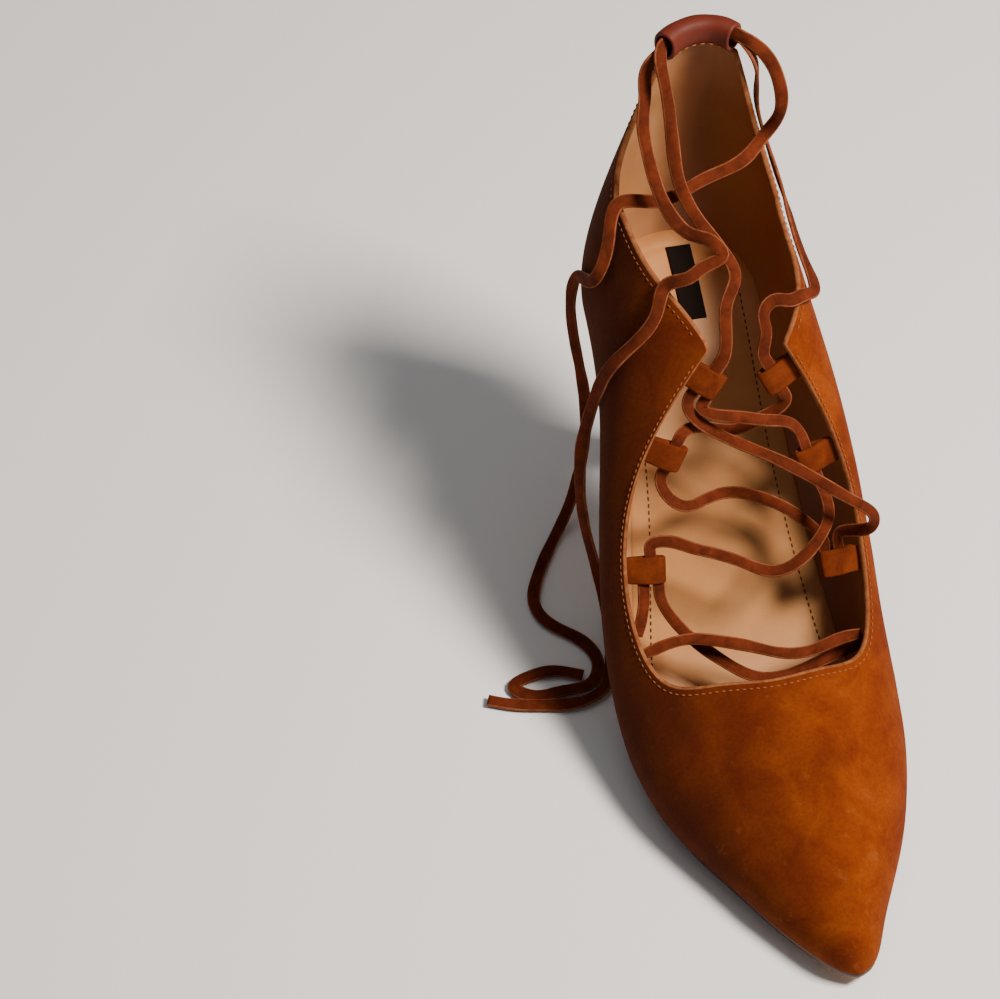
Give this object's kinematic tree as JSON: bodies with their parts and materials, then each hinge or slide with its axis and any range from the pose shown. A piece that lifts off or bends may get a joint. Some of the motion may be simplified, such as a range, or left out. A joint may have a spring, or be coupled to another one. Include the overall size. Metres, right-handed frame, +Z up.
{
  "type": "lace up heeled pump",
  "caption": "Pointed high-heeled pump with a high back, laced through small loops along the throat and a tunnel at the back, on a thin sole and a slim heel",
  "frame": {"origin": "middle of the shoe's box on the floor, without the free lace ends", "axes": "+Z up from the floor, +Y from the toe to the heel, +X to the inner side of the foot"},
  "size_m": [0.1249, 0.2316, 0.1883],
  "materials": {
    "upper_suede": "tan suede with a short nap",
    "insole_leather": "smooth beige lining leather",
    "outsole_leather": "smooth brown sole leather",
    "tip_rubber": "plain dark rubber",
    "lace_suede": "thin flat suede lace"
  },
  "bodies": {
    "root": {"back_tunnel": "upper_suede", "heel": "upper_suede", "heel_tip": "tip_rubber", "insole": "insole_leather", "lace_1": "lace_suede", "lace_2": "lace_suede", "lace_3": "lace_suede", "lace_4": "lace_suede", "lace_5": "lace_suede", "lace_6": "lace_suede", "lace_7": "lace_suede", "lace_8": "lace_suede", "lace_end_1": "lace_suede", "lace_end_2": "lace_suede", "loop_inner_1": "upper_suede", "loop_inner_2": "upper_suede", "loop_inner_3": "upper_suede", "loop_outer_1": "upper_suede", "loop_outer_2": "upper_suede", "loop_outer_3": "upper_suede", "outsole": "outsole_leather", "upper": "upper_suede"}
  },
  "joints": []
}
